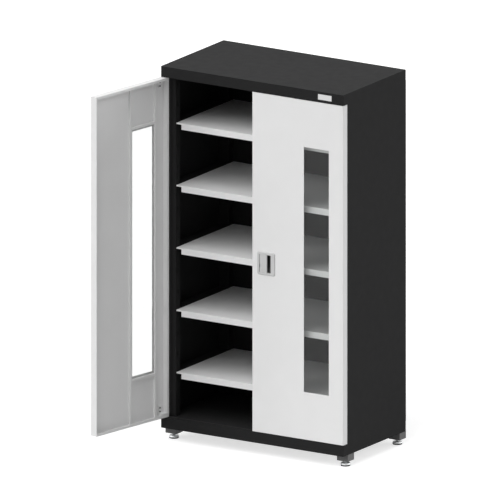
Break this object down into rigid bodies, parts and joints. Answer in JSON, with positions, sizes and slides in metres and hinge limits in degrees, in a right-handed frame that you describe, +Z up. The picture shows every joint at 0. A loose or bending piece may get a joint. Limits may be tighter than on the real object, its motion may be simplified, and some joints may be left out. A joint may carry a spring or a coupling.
{
  "type": "desiccator cabinet",
  "caption": "Floor-standing two-door dry storage cabinet with tall narrow door windows, slotted uprights, folded shelves, a flush paddle latch and levelling feet.",
  "frame": {"origin": "on the floor, under the centre of the cabinet's body", "axes": "+X to the right seen from the front, +Y to the back, +Z up"},
  "size_m": [1.0926, 1.024, 1.8],
  "materials": {
    "black_paint": "satin powder coat",
    "white_paint": "satin powder coat",
    "grey_paint": "satin powder coat",
    "latch_grey": "satin paint on a casting",
    "bare_plate": "satin anodised",
    "clear_glass": "clear polished",
    "grey_rubber": "matt",
    "rubber": "matt",
    "zinc": "zinc plated",
    "black_plastic": "matt"
  },
  "bodies": {
    "cabinet": {"top_cap": "black_paint", "ceiling_panel": "black_paint", "badge_plate": "bare_plate", "base_pan": "black_paint", "left_side_panel": "black_paint", "right_side_panel": "black_paint", "back_panel": "black_paint", "front_left_upright": "black_paint", "front_right_upright": "black_paint", "rear_left_upright": "black_paint", "rear_right_upright": "black_paint", "door_frame_seals": "rubber", "pivot_pins": "zinc", "left_door_catch": "black_plastic", "shelf_1": "white_paint", "shelf_1_rails": "black_paint", "shelf_2": "white_paint", "shelf_2_rails": "black_paint", "shelf_3": "white_paint", "shelf_3_rails": "black_paint", "shelf_4": "white_paint", "shelf_4_rails": "black_paint", "shelf_5": "white_paint", "shelf_5_rails": "black_paint", "front_left_foot_bracket": "grey_paint", "front_right_foot_bracket": "grey_paint", "rear_left_foot_bracket": "grey_paint", "rear_right_foot_bracket": "grey_paint", "foot_lock_nuts": "zinc"},
    "left_door": {"left_door_pan": "white_paint", "left_door_stiffeners": "white_paint", "left_window_pane": "clear_glass", "left_window_gasket": "grey_rubber", "left_pivot_brackets": "white_paint", "left_pivot_bushes": "black_plastic"},
    "right_door": {"right_door_pan": "white_paint", "right_door_stiffeners": "white_paint", "right_window_pane": "clear_glass", "right_window_gasket": "grey_rubber", "right_pivot_brackets": "white_paint", "right_pivot_bushes": "black_plastic", "meeting_seal": "rubber", "latch_plate": "latch_grey", "latch_cup": "black_plastic", "latch_pin": "zinc", "latch_spring": "zinc", "latch_guide": "zinc"},
    "latch_paddle": {"latch_paddle": "latch_grey"},
    "latch_bolt": {"latch_bolt": "zinc"},
    "front_left_foot": {"front_left_foot": "zinc"},
    "front_right_foot": {"front_right_foot": "zinc"},
    "rear_left_foot": {"rear_left_foot": "zinc"},
    "rear_right_foot": {"rear_right_foot": "zinc"}
  },
  "joints": [
    {"name": "left_door_hinge", "type": "hinge", "parent": "cabinet", "child": "left_door", "pos_m": [-0.491, -0.263, 0], "axis": [0, 0, -1], "range_deg": [-100.6, 10]},
    {"name": "right_door_hinge", "type": "hinge", "parent": "cabinet", "child": "right_door", "pos_m": [0.491, -0.263, 0], "axis": [0, 0, 1], "range_deg": [0, 110]},
    {"name": "latch_paddle_hinge", "type": "hinge", "parent": "right_door", "child": "latch_paddle", "pos_m": [0.04625, -0.275, 0.9305], "axis": [0, 0, -1], "range_deg": [0, 20], "stiffness_Nm_per_rad": 0.6, "springref_deg": -11.46},
    {"name": "latch_bolt_slide", "type": "slide", "parent": "right_door", "child": "latch_bolt", "axis": [1, 0, 0], "range_m": [0, 0.0135]},
    {"name": "front_left_foot_screw", "type": "slide", "parent": "cabinet", "child": "front_left_foot", "axis": [0, 0, -1], "range_m": [-0.0015, 0.015]},
    {"name": "front_right_foot_screw", "type": "slide", "parent": "cabinet", "child": "front_right_foot", "axis": [0, 0, -1], "range_m": [-0.0015, 0.015]},
    {"name": "rear_left_foot_screw", "type": "slide", "parent": "cabinet", "child": "rear_left_foot", "axis": [0, 0, -1], "range_m": [-0.0015, 0.015]},
    {"name": "rear_right_foot_screw", "type": "slide", "parent": "cabinet", "child": "rear_right_foot", "axis": [0, 0, -1], "range_m": [-0.0015, 0.015]}
  ],
  "couplings": [
    {"joint": "latch_bolt_slide", "follows": "latch_paddle_hinge", "m_per_rad": 0.038675}
  ]
}
